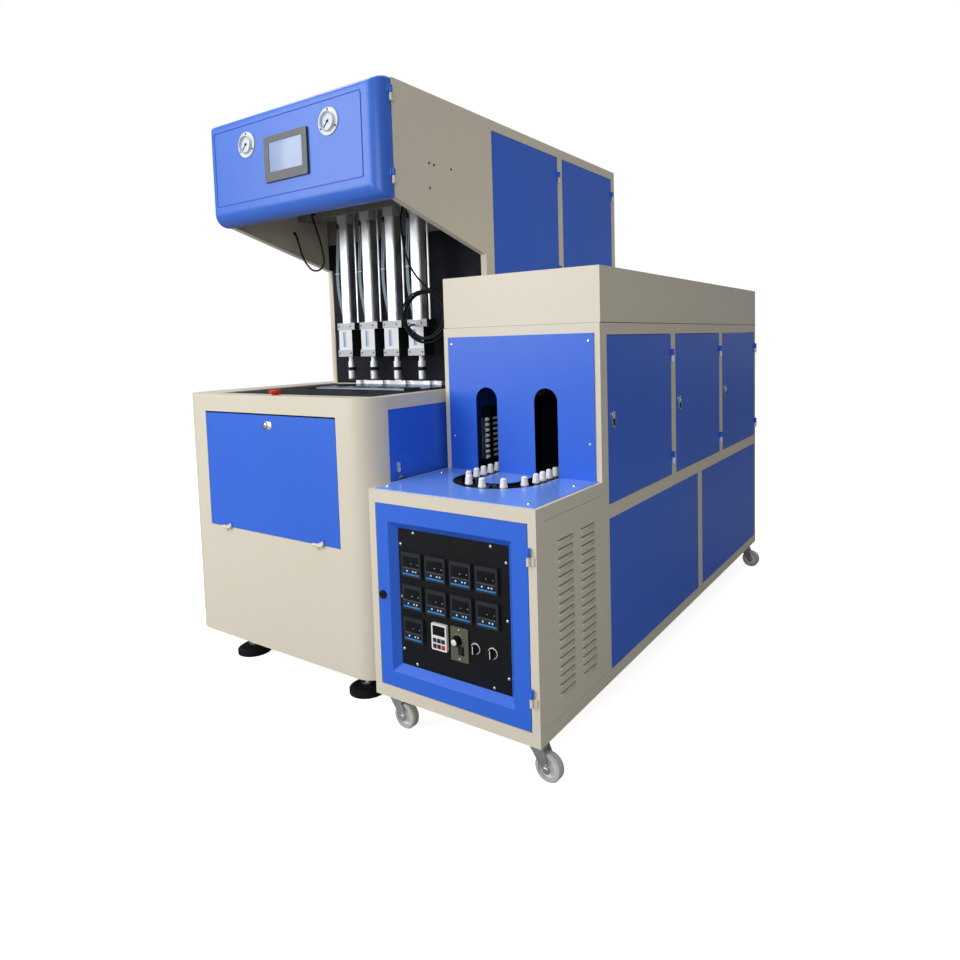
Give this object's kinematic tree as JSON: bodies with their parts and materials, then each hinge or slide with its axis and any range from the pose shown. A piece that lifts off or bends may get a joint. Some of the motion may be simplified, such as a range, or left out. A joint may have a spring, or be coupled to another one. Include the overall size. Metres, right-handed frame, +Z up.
{
  "type": "blow moulding machine",
  "caption": "Bottle blow moulding machine: cabinet with overhanging head, moulds and stretch cylinders, and an infrared preform heater with a holder chain on casters beside it.",
  "frame": {"origin": "on the floor, under the middle of the whole machine", "axes": "+X along the fronts towards the heater's doors, +Y from the front to the rear, +Z up"},
  "size_m": [1.5226, 2.091, 1.91],
  "materials": {
    "cabinet_paint": "satin warm grey powder coat",
    "blue_paint": "satin blue powder coat",
    "dark_paint": "satin dark powder coat",
    "frame_steel": "painted structural steel",
    "tool_steel": "ground tool steel",
    "bright_steel": "polished steel",
    "chrome": "bright chrome",
    "aluminium": "clear anodised",
    "zinc_sheet": "zinc plated sheet",
    "black_plastic": "moulded black plastic",
    "grey_plastic": "moulded dark grey plastic",
    "red_plastic": "moulded red plastic",
    "white_plastic": "moulded white plastic",
    "hose": "clear polyurethane hose",
    "cable": "black cable sheath",
    "lamp_glass": "quartz tube",
    "tread": "grey rubber tread",
    "foot_rubber": "black rubber foot",
    "motor_paint": "blue grey enamel"
  },
  "bodies": {
    "machine": {"blower_casing": "cabinet_paint", "blower_base": "frame_steel", "levelling_feet": "foot_rubber", "bay_deck": "dark_paint", "side_covers": "blue_paint", "head_casing": "cabinet_paint", "bay_wall": "dark_paint", "column_left_covers": "blue_paint", "cylinder_beam": "frame_steel", "blow_cylinders": "aluminium", "clamp_frame": "frame_steel", "clamp_cylinders": "aluminium", "air_hoses": "hose", "cables": "cable", "cable_coil": "cable", "heater_frame": "cabinet_paint", "heater_hood": "cabinet_paint", "arch_panel": "blue_paint", "heater_table": "blue_paint", "fixed_panels": "blue_paint", "vent_panel": "cabinet_paint", "oven_deck": "zinc_sheet", "preform_holders": "white_plastic", "chain_drive": "motor_paint", "heat_lamps": "lamp_glass", "lamp_boxes": "zinc_sheet"},
    "front_door": {"front_door": "blue_paint"},
    "stop_button": {"stop_button": "red_plastic"},
    "head_cover": {"head_cover": "blue_paint", "touch_screen": "grey_plastic", "gauge_housings": "chrome"},
    "needle_left": {"needle_left": "black_plastic"},
    "needle_right": {"needle_right": "black_plastic"},
    "column_door_front": {"column_door_front": "blue_paint"},
    "column_door_rear": {"column_door_rear": "blue_paint"},
    "nozzles": {"blow_nozzles": "bright_steel"},
    "rods": {"stretch_rods": "bright_steel"},
    "front_clamp": {"front_mould": "tool_steel", "front_platen": "frame_steel"},
    "rear_clamp": {"rear_mould": "tool_steel", "rear_platen": "frame_steel", "neck_bar": "bright_steel"},
    "control_door": {"control_door": "blue_paint", "control_panel": "black_plastic", "panel_instruments": "grey_plastic"},
    "speed_knob": {"speed_knob": "black_plastic"},
    "rotary_switch_left": {"rotary_switch_left": "chrome"},
    "rotary_switch_right": {"rotary_switch_right": "chrome"},
    "door_lock": {"door_lock": "black_plastic"},
    "side_door_front": {"side_door_front": "blue_paint"},
    "side_door_middle": {"side_door_middle": "blue_paint"},
    "side_door_rear": {"side_door_rear": "blue_paint"},
    "caster_fork_fl": {"caster_fork_fl": "zinc_sheet"},
    "caster_wheel_fl": {"caster_wheel_fl": "tread"},
    "caster_fork_fr": {"caster_fork_fr": "zinc_sheet"},
    "caster_wheel_fr": {"caster_wheel_fr": "tread"},
    "caster_fork_rl": {"caster_fork_rl": "zinc_sheet"},
    "caster_wheel_rl": {"caster_wheel_rl": "tread"},
    "caster_fork_rr": {"caster_fork_rr": "zinc_sheet"},
    "caster_wheel_rr": {"caster_wheel_rr": "tread"}
  },
  "joints": [
    {"name": "front_door_hinge", "type": "hinge", "parent": "machine", "child": "front_door", "pos_m": [-0.30075, -1.015, 0.5046], "axis": [1, 0, 0], "range_deg": [0, 90]},
    {"name": "stop_button_press", "type": "slide", "parent": "machine", "child": "stop_button", "axis": [0, 0, -1], "range_m": [0, 0.005], "stiffness_N_per_m": 400},
    {"name": "head_cover_hinge", "type": "hinge", "parent": "machine", "child": "head_cover", "pos_m": [0.16225, -0.8625, 1.7], "axis": [0, 0, 1], "range_deg": [0, 110]},
    {"name": "needle_left_turn", "type": "hinge", "parent": "head_cover", "child": "needle_left", "pos_m": [-0.44725, -0.9185, 1.806], "axis": [0, 1, 0], "range_deg": [0, 270]},
    {"name": "needle_right_turn", "type": "hinge", "parent": "head_cover", "child": "needle_right", "pos_m": [-0.04925, -0.9185, 1.806], "axis": [0, 1, 0], "range_deg": [0, 270]},
    {"name": "column_door_front_hinge", "type": "hinge", "parent": "machine", "child": "column_door_front", "pos_m": [0.16225, 0.1585, 1.6], "axis": [0, 0, 1], "range_deg": [0, 110]},
    {"name": "column_door_rear_hinge", "type": "hinge", "parent": "machine", "child": "column_door_rear", "pos_m": [0.16225, 0.6825, 1.6], "axis": [0, 0, 1], "range_deg": [0, 110]},
    {"name": "nozzle_stroke", "type": "slide", "parent": "machine", "child": "nozzles", "axis": [0, 0, -1], "range_m": [0, 0.04]},
    {"name": "stretch_stroke", "type": "slide", "parent": "machine", "child": "rods", "axis": [0, 0, -1], "range_m": [0, 0.23]},
    {"name": "front_mould_stroke", "type": "slide", "parent": "machine", "child": "front_clamp", "axis": [0, 1, 0], "range_m": [0, 0.06]},
    {"name": "rear_mould_stroke", "type": "slide", "parent": "machine", "child": "rear_clamp", "axis": [0, -1, 0], "range_m": [0, 0.06]},
    {"name": "control_door_hinge", "type": "hinge", "parent": "machine", "child": "control_door", "pos_m": [0.70975, -1.04, 0.4], "axis": [0, 0, 1], "range_deg": [0, 110]},
    {"name": "speed_knob_turn", "type": "hinge", "parent": "control_door", "child": "speed_knob", "pos_m": [0.46675, -1.0345, 0.322], "axis": [0, 1, 0], "range_deg": [0, 270]},
    {"name": "rotary_switch_left_turn", "type": "hinge", "parent": "control_door", "child": "rotary_switch_left", "pos_m": [0.52575, -1.0345, 0.313], "axis": [0, 1, 0], "range_deg": [0, 90]},
    {"name": "rotary_switch_right_turn", "type": "hinge", "parent": "control_door", "child": "rotary_switch_right", "pos_m": [0.58075, -1.0345, 0.313], "axis": [0, 1, 0], "range_deg": [0, 90]},
    {"name": "door_lock_turn", "type": "hinge", "parent": "control_door", "child": "door_lock", "pos_m": [0.21775, -1.0345, 0.4095], "axis": [0, 1, 0], "range_deg": [0, 90]},
    {"name": "side_door_front_hinge", "type": "hinge", "parent": "machine", "child": "side_door_front", "pos_m": [0.73525, -0.0975, 0.9], "axis": [0, 0, 1], "range_deg": [0, 110]},
    {"name": "side_door_middle_hinge", "type": "hinge", "parent": "machine", "child": "side_door_middle", "pos_m": [0.73525, 0.4645, 0.9], "axis": [0, 0, 1], "range_deg": [0, 110]},
    {"name": "side_door_rear_hinge", "type": "hinge", "parent": "machine", "child": "side_door_rear", "pos_m": [0.73525, 1.0265, 0.9], "axis": [0, 0, 1], "range_deg": [0, 110]},
    {"name": "caster_swivel_fl", "type": "hinge", "parent": "machine", "child": "caster_fork_fl", "pos_m": [0.21275, -0.9845, 0.1], "axis": [0, 0, 1], "continuous": true},
    {"name": "caster_roll_fl", "type": "hinge", "parent": "caster_fork_fl", "child": "caster_wheel_fl", "pos_m": [0.24475, -0.9845, 0.0375], "axis": [0, 1, 0], "continuous": true},
    {"name": "caster_swivel_fr", "type": "hinge", "parent": "machine", "child": "caster_fork_fr", "pos_m": [0.69175, -0.9845, 0.1], "axis": [0, 0, 1], "continuous": true},
    {"name": "caster_roll_fr", "type": "hinge", "parent": "caster_fork_fr", "child": "caster_wheel_fr", "pos_m": [0.72375, -0.9845, 0.0375], "axis": [0, 1, 0], "continuous": true},
    {"name": "caster_swivel_rl", "type": "hinge", "parent": "machine", "child": "caster_fork_rl", "pos_m": [0.21275, 0.9855, 0.1], "axis": [0, 0, 1], "continuous": true},
    {"name": "caster_roll_rl", "type": "hinge", "parent": "caster_fork_rl", "child": "caster_wheel_rl", "pos_m": [0.24475, 0.9855, 0.0375], "axis": [0, 1, 0], "continuous": true},
    {"name": "caster_swivel_rr", "type": "hinge", "parent": "machine", "child": "caster_fork_rr", "pos_m": [0.69175, 0.9855, 0.1], "axis": [0, 0, 1], "continuous": true},
    {"name": "caster_roll_rr", "type": "hinge", "parent": "caster_fork_rr", "child": "caster_wheel_rr", "pos_m": [0.72375, 0.9855, 0.0375], "axis": [0, 1, 0], "continuous": true}
  ],
  "couplings": [
    {"joint": "rear_mould_stroke", "follows": "front_mould_stroke", "ratio": 1}
  ]
}
